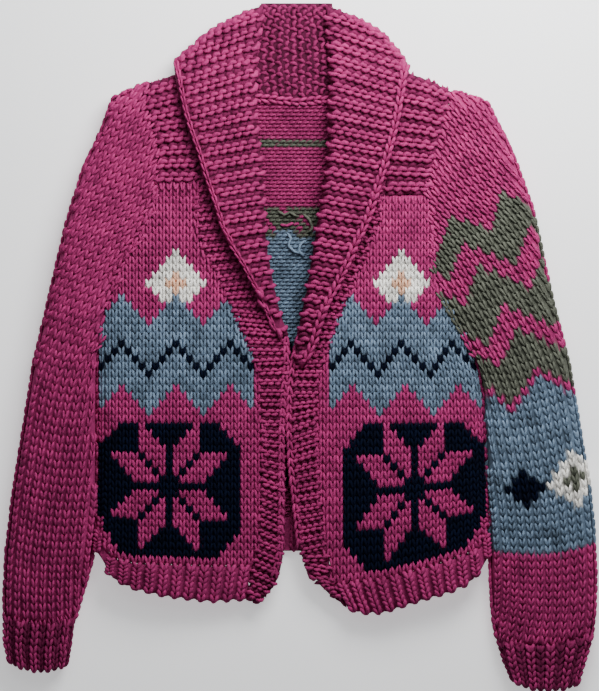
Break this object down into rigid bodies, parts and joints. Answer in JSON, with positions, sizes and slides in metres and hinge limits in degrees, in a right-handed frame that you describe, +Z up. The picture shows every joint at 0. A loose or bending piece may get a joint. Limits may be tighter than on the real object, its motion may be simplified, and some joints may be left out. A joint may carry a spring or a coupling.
{
  "type": "cardigan",
  "caption": "Chunky knit shawl-collar cardigan laid flat face up, with folded-back garter collar, open front, ribbed cuffs and hem, and sleeves spread down each side.",
  "frame": {"origin": "middle of the laid garment's box in plan, at the surface it lies on", "axes": "+Z up from the surface through the garment's front, +Y from the hem towards the collar, +X towards the wearer's left"},
  "size_m": [0.617, 0.7196, 0.0349],
  "materials": {
    "knit": "matte bulky knit",
    "rib": "matte bulky ribbed knit"
  },
  "bodies": {
    "root": {"back_panel": "knit", "back_hem_rib": "rib", "collar_back": "knit", "right_front": "knit", "left_front": "knit", "right_front_rib": "rib", "left_front_rib": "rib", "right_yoke": "knit", "left_yoke": "knit", "right_band": "rib", "left_band": "rib", "right_lapel": "knit", "left_lapel": "knit", "right_sleeve": "knit", "left_sleeve": "knit", "right_cuff": "rib", "left_cuff": "rib"}
  },
  "joints": []
}
